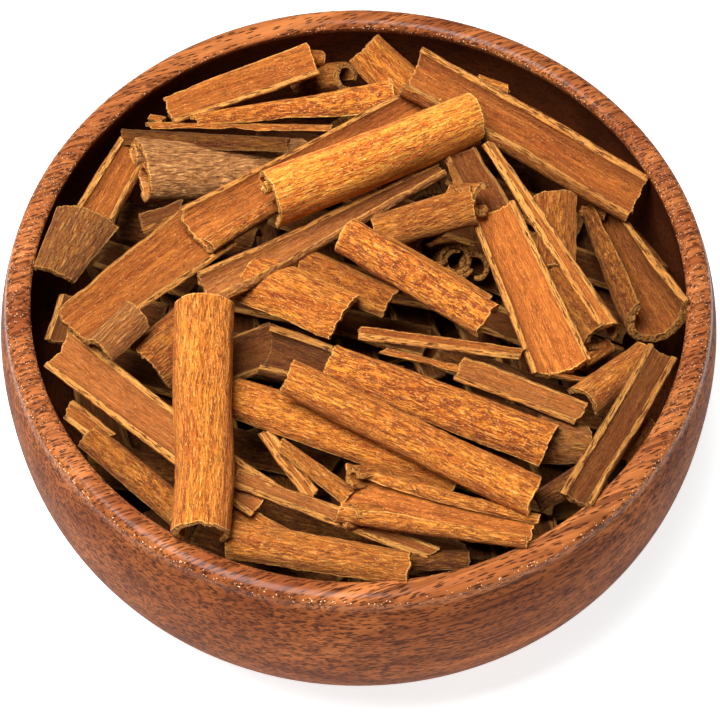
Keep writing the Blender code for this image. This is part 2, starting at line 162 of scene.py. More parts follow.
# The sticks on the heap, from the lowest to the highest, in millimetres. Each has its two ends,
# as x, y and its underside's height over the rim's edge, its width at each end, its shape, and
# its roll about its own length in degrees, where more than 0 lifts its left side. The places and
# widths were fitted to the photo by a scratch program, and rounded.
STICKS = (
    ("wall_strip", (-76, -11, -12), (-74, 2, -11), 7.5, 6.5, "trough", 0),
    ("back_ring", (-13, 79, -24), (-1, 71, -12), 9, 8.5, "quill", 0),
    ("back_bits", (33, 72, -9), (41, 69, -10), 3, 3, "scroll", 0),
    ("wall_piece_right", (74, 32, -25), (79, 16, -22), 4, 6.5, "shell", 0),
    ("low_right_grey", (44, -42, -8), (56, -41, -10), 13.5, 10, "shell", 0),
    ("low_right_dark", (42, -59, -7), (55, -51, -8), 5.5, 6.5, "shell", 0),
    ("low_front_dark", (11, -75, -7), (26, -74, -8), 5.5, 5.5, "shell", 0),
    ("gap_ring_a", (15, 22, -29), (21, 11, -11), 10.5, 10.5, "open", 70),
    ("gap_ring_b", (23, 22, -33), (27, 11, -15), 10, 10, "nested", -40),
    ("gap_ring_c", (30, 22, -36), (30, 11, -17), 8, 8, "quill", -30),
    ("folded_end", (27, 22, -2), (34, 19, 3), 8.5, 8.5, "open", 60),
    ("front_end_near", (3, -64, -6), (-4, -67, -1), 5.5, 5.5, "open", 90),
    ("front_end_far", (4, -54, -5), (-3, -57, 0), 5.5, 5.5, "open", 90),
    ("gap_bits_left", (-56, 18, -2), (-46, 24, -3), 7, 6, "dish", 0),
    ("curl_right", (56, -18, -11), (63, -13, -12), 4.5, 4, "quill", 0),
    ("rough_dark", (47, 16, -12), (61, -15, -8), 10.5, 10.5, "quill", 12),
    ("dark_mid", (-34, -21, -9), (-20, -15, -8), 13.5, 13.5, "dish", 0),
    ("dark_shell_mid", (-14, 6, -2), (9, -6, -1), 9.5, 9.5, "shell", 0),
    ("wall_bit_right", (65, -47, -8), (72, -36, -8), 3.5, 3.5, "shell", 0),
    ("small_trough_left", (-72, -33, -9), (-62, -41, -9), 6, 6, "trough", 0),
    ("shell_left_low", (-66, -40, -8), (-43, -61, -9), 7.5, 8, "shell", 0),
    ("shell_front_left", (-31, -62, -7), (-17, -68, -7), 7, 4, "low", 0),
    ("trough_left", (-75, -19, -4), (-23, -60, -6), 12.5, 10.5, "trough", 6),
    ("twin_a", (-23, -42, -4), (-11, -59, -6), 3.5, 5, "channel", 0),
    ("trough_front", (-30, -55, -3), (18, -73, -6), 7, 4.5, "dish", 0),
    ("twin_b", (-19, -46, -1), (-3, -60, -3), 3.5, 5.5, "shell", 0),
    ("shell_front", (-31, -70, -6), (12, -79, -1), 10, 9, "shell", 0),
    ("ridged_left", (-52, -21, -8), (-39, -9, -5), 15.5, 15.5, "shell", 0),
    ("trough_corner_left", (-68, 24, -9), (-59, 48, -10), 11.5, 10, "channel", 0),
    ("back_sliver_dark", (-63, 50, -7), (-18, 43, -1), 6.5, 5.5, "low", 0),
    ("chip_back", (-56, 57, -7), (-52, 56, -7), 4, 4, "flat", 0),
    ("back_quill", (1, 79, -5), (13, 69, -13), 12.5, 13.5, "shell", 0),
    ("curl_back", (-17, 76, -6), (-11, 79, -10), 4.5, 4.5, "hood", 0),
    ("light_trough_back", (-51, 58, -6), (-12, 73, -4), 10, 13.5, "ledge", 0),
    ("flat_back", (-44, 54, -3), (9, 62, -7), 2.5, 10.5, "shell", 0),
    ("edge_back", (-56, 53, -5), (-7, 48, -1), 2.5, 3.5, "low", 0),
    ("grey_scroll", (-58, 35, -8), (-15, 48, -21), 19.5, 17, "scroll", 0),
    ("broad_left", (-72, -15, 0), (-38, 17, -4), 14.5, 20.5, "dish", -4),
    ("chip_left", (-71, 22, -4), (-76, 3, -4), 17.5, 12, "low", -8),
    ("grey_left", (-64, -22, 3), (-55, -12, 3), 9, 9.5, "shell", 0),
    ("short_shell", (-28, 1, -1), (-3, -12, 1), 16, 15, "low", 4),
    ("jagged_mid", (-23, -21, -5), (-8, -25, -5), 13.5, 11, "round", 0),
    ("trough_long_left", (-41, 12, 1), (19, 61, -6), 15, 9.5, "lipped", 0),
    ("narrow_long", (-37, -8, 5), (21, 36, -3), 11, 4, "lipped", 0),
    ("big_trough_back", (14, 65, -2), (72, 29, -11), 14.5, 14, "round", 0),
    ("dark_shell_right", (27, 40, -1), (39, 13, -4), 10, 11.5, "dish", 0),
    ("tapered_quill", (50, 27, -2), (51, 5, -3), 13, 10, "low", 0),
    ("curl_under_big", (59, 30, -13), (65, 29, -13), 4, 3.5, "scroll", 0),
    ("deep_trough", (65, 28, -20), (74, -11, -8), 8.5, 16.5, "cup", 0),
    ("long_edge", (34, 42, 0), (61, -14, 1), 3, 6.5, "trough", 0),
    ("smooth_trough", (35, 21, -1), (49, -25, -4), 12.5, 16, "trough", 0),
    ("folded_shell", (6, 15, -4), (31, 18, 3), 9, 10, "quill", 0),
    ("thin_strip", (4, 12, 4), (33, -6, 0), 3, 3, "flat", 0),
    ("shell_mid", (-4, 9, 5), (32, -13, 0), 9.5, 9.5, "hood", 0),
    ("under_smooth", (46, -26, -3), (57, -25, -7), 3.5, 3, "flat", 0),
    ("thin_mid", (6, -22, 2), (26, -27, 1), 3, 3.5, "flat", 0),
    ("edge_mid", (0, -18, 4), (40, -22, 1), 5, 5, "dish", -6),
    ("shell_right_lower", (55, -33, -5), (71, -17, -6), 10.5, 7.5, "shell", 0),
    ("trough_right", (52, -62, -2), (75, -21, -2), 8.5, 8.5, "channel", -6),
    ("shell_c", (-7, -25, 3), (46, -46, -3), 10.5, 12.5, "shell", 0),
    ("grey_strip", (24, -28, 2), (54, -37, -3), 8.5, 8, "dish", 0),
    ("shell_e", (-31, -32, -3), (24, -52, -5), 10.5, 13, "shell", 0),
    ("front_curled", (-4, -61, -2), (41, -69, -2), 16, 9, "rolled", 0),
    ("shell_d", (-17, -32, 5), (41, -62, 0), 9, 11, "hood", 0),
    ("upright_quill", (-37, -13, 4), (-37, -72, -1), 14, 13.5, "open", 0),
    ("top_quill", (-23, 17, 5), (30, 48, -1), 12.5, 11, "hook", 0),
    ("pale_sliver", (24, 34, 2), (25, 20, 10), 3, 4, "flat", 0),
)

# The sticks buried under them lie side by side in layers, each across the one below.
BURIED_LAYERS = ((-45, 20), (-38, 105), (-31, 160))  # underside's height, heading in degrees
BURIED_SHAPES = ("shell", "low", "trough", "dish", "hood")
BURIED_SPACING = 14.0
BURIED_CROWN = 5.0
BURIED_REACH = 74.0
BURIED_ROWS_ASIDE = 5  # rows of sticks on each side of the middle one
BURIED_LENGTHS = (38, 62)
SHORTEST_BURIED = 18
BURIED_WIDTHS = (9, 13)
BURIED_GAPS = (2, 6)  # from one stick of a row to the next
BURIED_FIRST_GAPS = (0, 8)
BURIED_ASIDE = 1.5  # at most, to either side, like the turn and the roll
BURIED_TURN = 6
BURIED_ROLL = 12
BURIED_SEED = 7

# The core under all of them.
CORE_DEPTH = 46.0
CORE_CROWN = 6.0
CORE_GAP = 0.6  # between the core and the bowl
CORE_EDGE_DROP = 1.0  # at least, from the top's edge to the side
CORE_EDGE_INSET = 0.5
CORE_SEGMENTS = 96
CORE_SIDE_STEPS = 24
CORE_TOP_STEPS = 16

# How the bark's meshes are built.
OUTER_SKIN, INNER_SKIN, SPLIT_EDGE, SAWN_END = range(4)
STICK_SEED = 100  # a visible stick's place in the table is added to it
STEP = 0.75  # the grid that the visible bark is built on
BURIED_STEP = 2.2
FEWEST_ROWS, FEWEST_COLUMNS = 8, 6
CUT_BANDS = 3  # across the thickness of a cut edge
EDGE_SHARE = 0.8  # of its thickness, which a strip's two edges add to its width
OUTLINE_COLUMNS = 60  # along a section whose size is wanted
ISLAND_GAP = 1.2
ISLAND_SLACK = 1.04
GRAIN_SPREAD = 4000  # each stick's grain starts somewhere along this
SHARP_ANGLE = 48  # in degrees

# How uneven the bark is: how much something wanders, and over how many millimetres.
BEND_WANDER = (0.05, 24)
SIZE_WANDER = (0.006, 9)
EDGE_WANDERS = ((0.15, 13), (0.05, 2.0))
EDGE_INSET = 0.3
NICK_DEPTH = 0.35  # each split edge has one nick
NICK_REACH = 2.0
TWIST_WANDER = (math.radians(2.0), 30)
BOW_SIDE_WANDER = (0.35, 40)
BOW_UP_WANDER = (0.25, 40)
END_SKEW = 0.5
END_WANDER = (0.22, 3)
END_ROUGHNESS = 0.14
END_REACH = 5  # how far in from an end its raggedness moves the rows
SAWN_ROUGHNESS = 0.13
SPLIT_ROUGHNESS = 0.05
CUT_BULGE = 0.06

# The same for its skins, where the two distances are along the stick and around it.
THICKNESS_RELIEF = (0.10, 14, 5)
OUTER_RIDGES = ((0.10, 16, 1.6), (0.07, 5, 1.1))
OUTER_RELIEF = (0.05, 2.2, 2.2)
INNER_RIDGES = ((0.05, 18, 1.5), (0.04, 4, 3))
EDGE_THICKNESS = 0.80  # at the very edge, as a share of the bark's thickness
THINNING_REACH = 2.5

# The stage, in metres.
FLOOR_HALF = 4.0
FLOOR_GLOW = 0.80
AMBIENT = 0.09
KEY_PLACE = (-0.19, -0.06, 0.78)
KEY_AIM = (0, 0, 0.06)
KEY_SIZE = 0.42
KEY_POWER = 13.0

# The camera, seen from the middle of the rim.
CAMERA_ELEVATION = 57.157
CAMERA_DISTANCE = 539.1
CAMERA_AIM = 59.245  # how far down the camera looks
CAMERA_YAW = 0.068
CAMERA_LENS = 106.8  # on a sensor 36 mm wide


def add_object(name, data):
    made = bpy.data.objects.new(name, data)
    bpy.context.scene.collection.objects.link(made)
    return made


# ---- random shapes


def ease(share):
    return share * share * (3 - 2 * share)


def wobble(rng, places, amount, spacing):
    """A smooth random curve of about the amount, read at the places, with a knot every spacing."""
    knots = rng.normal(size=int(places.max() / spacing) + 3)
    at = places / spacing
    first = at.astype(int)
    share = ease(at - first)
    return amount * (knots[first] * (1 - share) + knots[first + 1] * share)


def relief(rng, along, around, amount, along_spacing, around_spacing):
    """A smooth random surface of about the amount, on the grid of two lists of places."""
    rows = int(along.max() / along_spacing) + 3
    columns = int(around.max() / around_spacing) + 3
    knots = rng.normal(size=(rows, columns))
    at = along / along_spacing
    row = at.astype(int)
    share = ease(at - row)[:, None]
    lines = knots[row] * (1 - share) + knots[row + 1] * share
    at = around / around_spacing
    column = at.astype(int)
    share = ease(at - column)
    return amount * (lines[:, column] * (1 - share) + lines[:, column + 1] * share)


# ---- bark


def bent_lines(turns, columns):
    """Sideways and upward places along strips of length 1, and their slope, one row for each row
    of turns: the degrees that each of its equal parts bends through, from right to left."""
    turns = np.atleast_2d(np.asarray(turns, float))
    parts = turns.shape[1]
    along = np.linspace(0, 1, columns + 1)
    centres = (np.arange(parts) + 0.5) / parts
    bending = np.stack([np.interp(along, centres, row) for row in turns]) * parts

    def summed(rate):
        total = np.zeros_like(rate)
        total[:, 1:] = np.cumsum((rate[:, 1:] + rate[:, :-1]) / 2 / columns, axis=1)
        return total

    slope = summed(bending)
    middle = (slope[:, columns // 2] + slope[:, (columns + 1) // 2]) / 2
    slope = np.radians(slope - middle[:, None])
    return summed(np.cos(slope)), -summed(np.sin(slope)), slope


def bark_outline(width, shape, roll):
    """What places a stick's section: its strip's width laid flat, and the shift that puts its
    underside at height 0 and its middle at 0 sideways."""
    thickness, turns = SHAPES[shape]
    side, rise, slope = (part[0] for part in bent_lines(turns, OUTLINE_COLUMNS))
    scale = (width - EDGE_SHARE * thickness) / (side.max() - side.min())
    skins = np.array([[thickness / 2], [-thickness / 2]])
    sides = side * scale + np.sin(slope) * skins
    rises = rise * scale + np.cos(slope) * skins
    turn = math.radians(roll)
    across = sides * math.cos(turn) - rises * math.sin(turn)
    upward = sides * math.sin(turn) + rises * math.cos(turn)
    return scale, -(across.max() + across.min()) / 2, -upward.min()


class Bark:
    """The mesh of one piece, to which strips are added."""

    def __init__(self, name):
        self.name = name
        self.points = []
        self.grain = []  # along, around and through each strip
        self.look = []
        self.edge = []  # 1 along the edges and ends, 0 elsewhere
        self.faces = []
        self.sides = []  # which of the skins or cut edges each face is on
        self.layout = []
        self.islands = []
        self.count = 0

    def add(self, points, grain, edge, look, blocks, island):
        """Blocks are (faces, side, corners), with the corners' places on the strip's island."""
        self.points.append(points)
        self.grain.append(grain)
        self.edge.append(edge)
        self.look.append(np.tile(look, (len(points), 1)))
        for faces, side, corners in blocks:
            self.faces.append(faces + self.count)
            self.sides.append(np.full(len(faces), side, float))
            self.layout.append((len(self.islands), corners))
        self.islands.append(island)
        self.count += len(points)

    def island_places(self):
        """Where each strip's island goes on a square, in rows of about equal height."""
        sizes = np.array(self.islands) + ISLAND_GAP
        order = np.argsort(-sizes[:, 1])
        across = math.sqrt(sizes.prod(axis=1).sum()) * ISLAND_SLACK
        across = max(across, sizes[:, 0].max())
        places = np.zeros_like(sizes)
        x, y, tall = 0.0, 0.0, 0.0
        for at in order:
            if x + sizes[at, 0] > across:
                x, y, tall = 0.0, y + tall, 0.0
            places[at] = (x, y)
            x += sizes[at, 0]
            tall = max(tall, sizes[at, 1])
        return places, max(across, y + tall)

    def build(self, finish):
        points = np.concatenate(self.points) * MM
        faces = np.concatenate(self.faces)
        data = bpy.data.meshes.new(self.name)
        data.vertices.add(len(points))
        data.vertices.foreach_set("co", points.astype(np.float32).ravel())
        data.loops.add(faces.size)
        data.loops.foreach_set("vertex_index", faces.astype(np.int32).ravel())
        data.polygons.add(len(faces))
        data.polygons.foreach_set("loop_start", np.arange(0, faces.size, 4, dtype=np.int32))
        data.update(calc_edges=True)
        places, size = self.island_places()
        corners = [(corner + places[island]) / size for island, corner in self.layout]
        uv = data.uv_layers.new(name="OFBake")
        uv.data.foreach_set("uv", np.concatenate(corners).astype(np.float32).ravel())

        def attribute(name, kind, domain, field, values):
            made = data.attributes.new(name, kind, domain)
            made.data.foreach_set(field, np.concatenate(values).astype(np.float32).ravel())

        attribute("grain", "FLOAT_VECTOR", "POINT", "vector", self.grain)
        attribute("look", "FLOAT_VECTOR", "POINT", "vector", self.look)
        attribute("edge", "FLOAT", "POINT", "value", self.edge)
        attribute("side", "FLOAT", "FACE", "value", self.sides)
        data.shade_smooth()
        data.set_sharp_from_angle(angle=math.radians(SHARP_ANGLE))
        data.materials.append(finish)
        data.validate()
        return add_object(self.name, data)


class Strip:
    """One bent strip of bark. Its methods draw from one generator, so their order counts."""

    def __init__(self, stick, look, rng, step):
        start, end, width, end_width, shape, roll = stick
        self.start = np.array(start, float) + (0, 0, RIM_EDGE)
        reach = np.array(end, float) + (0, 0, RIM_EDGE) - self.start
        self.length = np.linalg.norm(reach)
        self.axis = reach / self.length
        flat = math.hypot(*self.axis[:2])
        self.left = np.array((-self.axis[1], self.axis[0], 0)) / flat
        self.up = np.cross(self.axis, self.left)
        self.thick, self.turns = SHAPES[shape]
        self.back_up = sum(self.turns) > 0
        self.roll = math.radians(roll)
        self.look = look
        self.rng = rng
        middle_width = (width + end_width) / 2
        self.strip, self.shift_side, self.shift_up = bark_outline(middle_width, shape, roll)
        self.rows = max(FEWEST_ROWS, round(self.length / step))
        self.columns = max(FEWEST_COLUMNS, round(self.strip / step))
        self.along = np.linspace(0, self.length, self.rows + 1)
        self.around = np.linspace(0, self.strip, self.columns + 1)
        self.size = (width + (end_width - width) * self.along / self.length) / middle_width
        self.numbers = np.arange((self.rows + 1) * (self.columns + 1)).reshape(self.rows + 1, -1)
        self.beside = self.strip + ISLAND_GAP
        self.find_rim()

    def find_rim(self):
        """The rows and columns round the grid's rim, and which of them lie along an end."""
        rows, columns = self.rows, self.columns
        onward, back = np.arange(rows), np.arange(rows, 0, -1)
        self.rim_rows = np.concatenate([[0] * columns, onward, [rows] * columns, back])
        onward, back = np.arange(columns), np.arange(columns, 0, -1)
        self.rim_columns = np.concatenate([onward, [columns] * rows, back, [0] * rows])
        self.rim = len(self.rim_rows)
        self.at_end = np.repeat((True, False, True, False), (columns, rows, columns, rows))

    def wander(self, amount, spacing):
        return wobble(self.rng, self.along, amount, spacing)

    def uneven(self, amount, along_spacing, around_spacing):
        return relief(self.rng, self.along, self.around, amount, along_spacing, around_spacing)

    def middle_sheet(self):
        """The middle of the bark's thickness: its places sideways and upward, and its slope."""
        bending = 1 + self.wander(*BEND_WANDER)
        side, rise, slope = bent_lines(np.outer(bending, self.turns), self.columns)
        chord = np.ptp(side, axis=1)
        even = (chord.mean() / chord)[:, None]
        side, rise = side * even, rise * even
        size = self.size * (1 + self.wander(*SIZE_WANDER))
        # The split edges wander in and out, so each row reaches a little more or less far round.
        right, left = (sum(self.wander(*wander) for wander in EDGE_WANDERS) for _ in range(2))
        for edge in (right, left):
            nick = self.rng.random() * self.length
            edge += NICK_DEPTH * np.exp(-(((self.along - nick) / NICK_REACH) ** 2) / 2)
        for row in range(self.rows + 1):
            first, last = (max(0, edge[row] + EDGE_INSET) for edge in (right, left))
            reach = np.linspace(first, self.strip - last, self.columns + 1)
            for sheet in (side, rise, slope):
                sheet[row] = np.interp(reach, self.around, sheet[row])
        scale = (self.strip * size)[:, None]
        return side * scale, rise * scale, slope

    def skins(self):
        """How far the upper and the lower skin lie over the middle sheet."""
        thickness = self.thick * (1 + self.uneven(*THICKNESS_RELIEF))
        from_edge = np.minimum(self.around, self.strip - self.around)
        fullness = np.clip(from_edge / THINNING_REACH, 0, 1)
        half = thickness * (EDGE_THICKNESS + (1 - EDGE_THICKNESS) * fullness) / 2
        ridges = self.look[3]
        outer = sum(self.uneven(*ridge) for ridge in OUTER_RIDGES) * ridges
        outer = outer + self.uneven(*OUTER_RELIEF)
        inner = sum(self.uneven(*ridge) for ridge in INNER_RIDGES)
        # A back that faces down has its outer skin on the other side.
        return (half + outer, -half - inner) if self.back_up else (half + inner, -half - outer)

    def ragged_rows(self):
        """Places along the stick, whose ends are ragged and never quite square."""
        skew = self.rng.normal(0, END_SKEW, 2)
        lines = []
        for at_end in (0, 1):
            line = skew[at_end] * (self.around / self.strip - 0.5) * 2
            line = line + wobble(self.rng, self.around, *END_WANDER)
            lines.append(line + END_ROUGHNESS * self.rng.normal(size=self.columns + 1))
        near_start = np.clip(1 - self.along / END_REACH, 0, 1)[:, None]
        near_end = np.clip(1 - (self.length - self.along) / END_REACH, 0, 1)[:, None]
        return self.along[:, None] + near_start * lines[0] + near_end * lines[1]

    def sheets(self):
        """The points of the upper and the lower skin."""
        side, rise, slope = self.middle_sheet()
        offsets = self.skins()
        turn = self.roll + self.wander(*TWIST_WANDER)[:, None]
        bow_side = self.wander(*BOW_SIDE_WANDER)[:, None]
        bow_up = self.wander(*BOW_UP_WANDER)[:, None]
        lengthwise = self.ragged_rows()
        sheets = []
        for offset in offsets:
            across = side + np.sin(slope) * offset
            upward = rise + np.cos(slope) * offset
            aside = across * np.cos(turn) - upward * np.sin(turn) + self.shift_side + bow_side
            above = across * np.sin(turn) + upward * np.cos(turn) + self.shift_up + bow_up
            points = self.start + self.axis * lengthwise[..., None]
            points = points + self.left * aside[..., None]
            sheets.append(points + self.up * above[..., None])
        return sheets

    def cut_lines(self, upper, lower):
        """The lines of points along the cut edge, between the skins."""
        top = upper[self.rim_rows, self.rim_columns]
        bottom = lower[self.rim_rows, self.rim_columns]
        inner_rows = np.clip(self.rim_rows, 1, self.rows - 1)
        inner_columns = np.clip(self.rim_columns, 1, self.columns - 1)
        outward = top - upper[inner_rows, inner_columns]
        outward = outward / np.linalg.norm(outward, axis=1)[:, None]
        roughness = np.where(self.at_end, SAWN_ROUGHNESS, SPLIT_ROUGHNESS)
        lines = []
        for band in range(1, CUT_BANDS):
            share = band / CUT_BANDS
            bulge = CUT_BULGE + roughness * self.rng.normal(size=self.rim)
            lines.append(top * (1 - share) + bottom * share + outward * bulge[:, None])
        return lines

    def grain(self):
        """Places along, around and through the stick, in the order of its points."""
        flat = np.zeros((*self.numbers.shape, 3))
        flat[..., 0] = self.along[:, None] + self.rng.random() * GRAIN_SPREAD
        flat[..., 1] = self.around

        def at_depth(places, band):
            places = places.copy()
            from_outside = band if self.back_up else CUT_BANDS - band
            places[..., 2] = self.thick * from_outside / CUT_BANDS
            return places.reshape(-1, 3)

        rim = flat[self.rim_rows, self.rim_columns]
        skins = [at_depth(flat, band) for band in (0, CUT_BANDS)]
        cuts = [at_depth(rim, band) for band in range(1, CUT_BANDS)]
        return np.concatenate(skins + cuts)

    def edge(self):
        """1 along the edges and ends, 0 elsewhere, in the order of the points."""
        skin = np.ones(self.numbers.shape)
        skin[1:-1, 1:-1] = 0
        cuts = np.ones(self.rim * (CUT_BANDS - 1))
        return np.concatenate([skin.ravel(), skin.ravel(), cuts])

    def line(self, band, at):
        """The points of one line along the cut edge. The first and last are the skins' own."""
        if 0 < band < CUT_BANDS:
            return 2 * self.numbers.size + (band - 1) * self.rim + at
        sheet = band // CUT_BANDS
        return self.numbers[self.rim_rows[at], self.rim_columns[at]] + sheet * self.numbers.size

    def skin_block(self, sheet):
        """Faces of the upper skin for 0 or of the lower one for 1, their side, and their layout."""
        row, column = (part.ravel() for part in np.indices((self.rows, self.columns)))
        rows = np.stack([row, row + 1, row + 1, row], -1)
        columns = np.stack([column, column, column + 1, column + 1], -1)
        if sheet == 1:
            rows, columns = rows[:, ::-1], columns[:, ::-1]
        faces = self.numbers[rows, columns] + sheet * self.numbers.size
        side = OUTER_SKIN if (sheet == 0) == self.back_up else INNER_SKIN
        corners = np.stack([self.along[rows], self.around[columns] + sheet * self.beside], -1)
        return faces, side, corners.reshape(-1, 2)

    def cut_blocks(self, band):
        """The same for a band of the cut edge: its ends, then its edges."""
        here = np.arange(self.rim)
        after = (here + 1) % self.rim
        bands, order = (band, band, band + 1, band + 1), (here, after, after, here)
        faces = np.stack([self.line(*corner) for corner in zip(bands, order)], -1)
        depth = np.tile(self.thick * np.array(bands) / CUT_BANDS, (self.rim, 1))
        order = np.stack(order, -1)
        rows, columns = self.rim_rows[order], self.rim_columns[order]
        # On the island the ends lie past the skins' ends, and the edges beside the skins.
        end_beside = self.around[columns] + (rows > self.rows / 2) * self.beside
        end_corners = np.stack([self.length + ISLAND_GAP + depth, end_beside], -1)
        far = columns > self.columns / 2
        edge_beside = 2 * self.beside + depth + far * (self.thick + ISLAND_GAP)
        edge_corners = np.stack([self.along[rows], edge_beside], -1)
        ends, edges = self.at_end, ~self.at_end
        return [
            (faces[ends], SAWN_END, end_corners[ends].reshape(-1, 2)),
            (faces[edges], SPLIT_EDGE, edge_corners[edges].reshape(-1, 2)),
        ]

    def add_to(self, piece):
        upper, lower = self.sheets()
        lines = self.cut_lines(upper, lower)
        points = np.concatenate([upper.reshape(-1, 3), lower.reshape(-1, 3), *lines])
        blocks = [self.skin_block(0), self.skin_block(1)]
        for band in range(CUT_BANDS):
            blocks += self.cut_blocks(band)
        tall = 2 * self.beside + 2 * self.thick + ISLAND_GAP
        island = (self.length + ISLAND_GAP + self.thick, tall)
        piece.add(points, self.grain(), self.edge(), self.look[:3], blocks, island)


def varied(look, rng):
    bright, grey, patches, ridges = look
    return (
        bright * (1 + BRIGHT_SPREAD * rng.normal()),
        np.clip(grey + GREY_SPREAD * rng.random(), 0, 1),
        np.clip(patches + PATCH_SPREAD * rng.normal(), 0, 1),
        ridges,
    )


def visible_bark(finish):
    kinds = {shape: kind for kind, shapes in PIECES.items() for shape in shapes}
    looks = {name: look for look, names in STICKS_BY_LOOK.items() for name in names}
    pieces = {}
    for number, (name, *stick) in enumerate(STICKS):
        kind = kinds[stick[4]]
        if kind not in pieces:
            pieces[kind] = Bark(kind)
        rng = np.random.default_rng(STICK_SEED + number)
        look = varied(LOOKS[looks.get(name, "plain")], rng)
        Strip(stick, look, rng, STEP).add_to(pieces[kind])
    return [piece.build(finish) for piece in pieces.values()]


def crown(x, y, height):
    """How much higher a layer is at a place than at the wall."""
    share = min(1.0, math.hypot(x, y) / INNER_WIDEST_RADIUS)
    return height * math.cos(share * math.pi / 2)


def buried_stick(direction, along, offset, length, height, rng):
    """A stick of a buried layer, whose row runs in the direction, aside from the middle."""
    beside = np.array((-direction[1], direction[0]))
    turn = math.radians(rng.uniform(-BURIED_TURN, BURIED_TURN))
    way = direction * math.cos(turn) + beside * math.sin(turn)
    middle = direction * (along + length / 2) + beside * offset
    first = middle - way * length / 2
    last = middle + way * length / 2
    return (
        (*first, height + crown(*first, BURIED_CROWN)),
        (*last, height + crown(*last, BURIED_CROWN)),
        rng.uniform(*BURIED_WIDTHS),
        rng.uniform(*BURIED_WIDTHS),
        BURIED_SHAPES[rng.integers(len(BURIED_SHAPES))],
        rng.uniform(-BURIED_ROLL, BURIED_ROLL),
    )


def buried_bark(finish):
    """Layers of sticks that are seen only through the gaps."""
    rng = np.random.default_rng(BURIED_SEED)
    piece = Bark("buried_bark")
    for height, heading in BURIED_LAYERS:
        direction = np.array((math.cos(math.radians(heading)), math.sin(math.radians(heading))))
        for row in range(-BURIED_ROWS_ASIDE, BURIED_ROWS_ASIDE + 1):
            offset = row * BURIED_SPACING + rng.uniform(-BURIED_ASIDE, BURIED_ASIDE)
            half_chord = math.sqrt(max(0.0, BURIED_REACH**2 - offset**2))
            along = -half_chord + rng.uniform(*BURIED_FIRST_GAPS)
            while along < half_chord - SHORTEST_BURIED:
                length = min(rng.uniform(*BURIED_LENGTHS), half_chord - along)
                stick = buried_stick(direction, along, offset, length, height, rng)
                # The buried look darkens them as painted shade for the gaps.
                look = varied(LOOKS["buried"], rng)
                Strip(stick, look, rng, BURIED_STEP).add_to(piece)
                along += length + rng.uniform(*BURIED_GAPS)
    return piece.build(finish)


# ---- turned shapes


def wall_radius(depth, widest, reach_up, reach_down, squareness):
    away = depth - WIDEST_DEPTH
    share = abs(away) / (reach_down if away > 0 else reach_up)
    return widest * max(0.0, 1 - share**squareness) ** (1 / squareness)


def outer_radius(depth):
    return wall_radius(depth, OUTER_WIDEST_RADIUS, OUTER_REACH, OUTER_REACH, OUTER_SQUARENESS)


def inner_radius(depth):
    return wall_radius(
        depth, INNER_WIDEST_RADIUS, INNER_REACH_UP, INNER_REACH_DOWN, INNER_SQUARENESS
    )


def inner_depth(radius):
    share = min(1.0, radius / INNER_WIDEST_RADIUS)
    return WIDEST_DEPTH + INNER_REACH_DOWN * (1 - share**INNER_SQUARENESS) ** (1 / INNER_SQUARENESS)


def turned(name, profile, segments, finish):
    """A closed turned body from radius and height pairs, from the bottom axis to the top axis."""
    points = []
    for radius, height in profile[1:-1]:
        for n in range(segments):
            turn = math.tau * n / segments
            x, y = radius * math.cos(turn), radius * math.sin(turn)
            points.append((x * MM, y * MM, height * MM))
    rings = len(profile) - 2
    points.append((0, 0, profile[0][1] * MM))
    points.append((0, 0, profile[-1][1] * MM))
    bottom, top = len(points) - 2, len(points) - 1
    faces = []
    for n in range(segments):
        after = (n + 1) % segments
        faces.append((bottom, after, n))
        faces.append((top, (rings - 1) * segments + n, (rings - 1) * segments + after))
        for ring in range(rings - 1):
            a, b = ring * segments, (ring + 1) * segments
            faces.append((a + n, a + after, b + after, b + n))
    data = bpy.data.meshes.new(name)
    data.from_pydata(points, [], faces)
    data.shade_smooth()
    data.materials.append(finish)
    return add_object(name, data)


def bowl_profile():
    foot_radius = outer_radius(BOWL_HEIGHT - FOOT_ROUNDING) - FOOT_ROUNDING
    profile = [(0.0, 0.0), (foot_radius - FLAT_FOOT_MARGIN, 0.0), (foot_radius, 0.0)]
    for step in range(1, ROUNDING_STEPS + 1):
        turn = math.pi / 2 * step / ROUNDING_STEPS
        radius = foot_radius + FOOT_ROUNDING * math.sin(turn)
        profile.append((radius, FOOT_ROUNDING * (1 - math.cos(turn))))
    for step in range(1, BOWL_STEPS + 1):
        share = step / BOWL_STEPS
        depth = (BOWL_HEIGHT - FOOT_ROUNDING) * (1 - share) + CREST_DEPTH * share
        profile.append((outer_radius(depth), BOWL_HEIGHT - depth))
    outside, inside = outer_radius(CREST_DEPTH), inner_radius(CREST_DEPTH)
    middle = (outside + inside) / 2
    for step in range(1, CREST_STEPS):
        turn = math.pi * step / CREST_STEPS
        radius = middle + (outside - inside) / 2 * math.cos(turn)
        profile.append((radius, BOWL_HEIGHT - CREST_DEPTH * (1 - math.sin(turn))))
    for step in range(UPPER_WALL_STEPS + 1):
        depth = CREST_DEPTH + (WIDEST_DEPTH - CREST_DEPTH) * step / UPPER_WALL_STEPS
        profile.append((inner_radius(depth), BOWL_HEIGHT - depth))
    for step in range(1, BOWL_STEPS):
        radius = INNER_WIDEST_RADIUS * math.cos(math.pi / 2 * step / BOWL_STEPS)
        profile.append((radius, BOWL_HEIGHT - inner_depth(radius)))
    profile.append((0.0, BOWL_HEIGHT - inner_depth(0.0)))
    return profile


